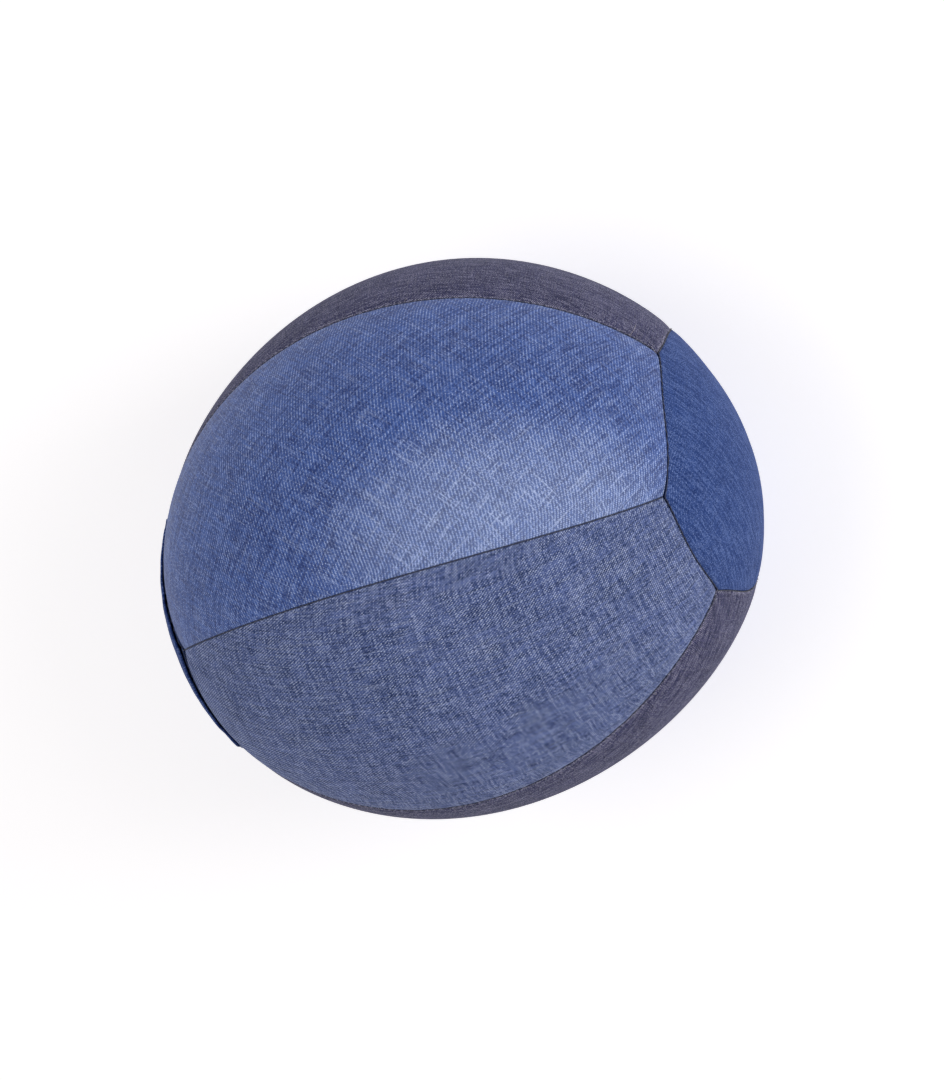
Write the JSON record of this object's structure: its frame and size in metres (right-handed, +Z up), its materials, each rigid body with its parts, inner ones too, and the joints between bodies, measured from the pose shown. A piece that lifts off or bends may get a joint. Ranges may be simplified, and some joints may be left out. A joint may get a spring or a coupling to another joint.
{
  "type": "balloon juggling ball",
  "caption": "Large light juggling ball: a sewn denim cover of long panels and hexagonal ends over an inflated balloon, with a flap over the filling slit.",
  "frame": {"origin": "centre of the ball, halfway between the two end seams on its long axis", "axes": "+X along the ball's long axis towards the plain hexagonal end, +Z up with the ball lying on its side and a long seam along its top"},
  "size_m": [0.2614, 0.2294, 0.2294],
  "materials": {
    "denim_blue": "worn mid-blue twill cut on the bias, soft sheen",
    "denim_grey_blue": "faded grey-blue twill on the straight grain, slubby",
    "denim_charcoal": "charcoal twill, fine and matt",
    "denim_deep_blue": "deep blue, mottled, fine twill",
    "tape": "woven hook and loop tape",
    "thread": "sewing thread",
    "latex": "stretched latex"
  },
  "bodies": {
    "ball": {"panel_upper_left": "denim_blue", "panel_left": "denim_charcoal", "panel_lower_left": "denim_grey_blue", "panel_lower_right": "denim_blue", "panel_right": "denim_charcoal", "panel_upper_right": "denim_grey_blue", "end_cap": "denim_deep_blue", "slit_end_left": "denim_deep_blue", "slit_end_right": "denim_deep_blue", "flap_sewn_strip": "denim_deep_blue", "loop_tape": "tape", "long_seam_thread_1": "thread", "long_seam_thread_2": "thread", "long_seam_thread_3": "thread", "long_seam_thread_4": "thread", "long_seam_thread_5": "thread", "long_seam_thread_6": "thread", "end_cap_thread": "thread", "slit_end_thread": "thread", "balloon": "latex", "balloon_knot": "latex"},
    "flap": {"flap": "denim_deep_blue", "hook_tape": "tape"}
  },
  "joints": [
    {"name": "flap_fold", "type": "hinge", "parent": "ball", "child": "flap", "pos_m": [-0.1205, -0.0496, 0], "axis": [0, 0, 1], "range_deg": [0, 150]}
  ]
}
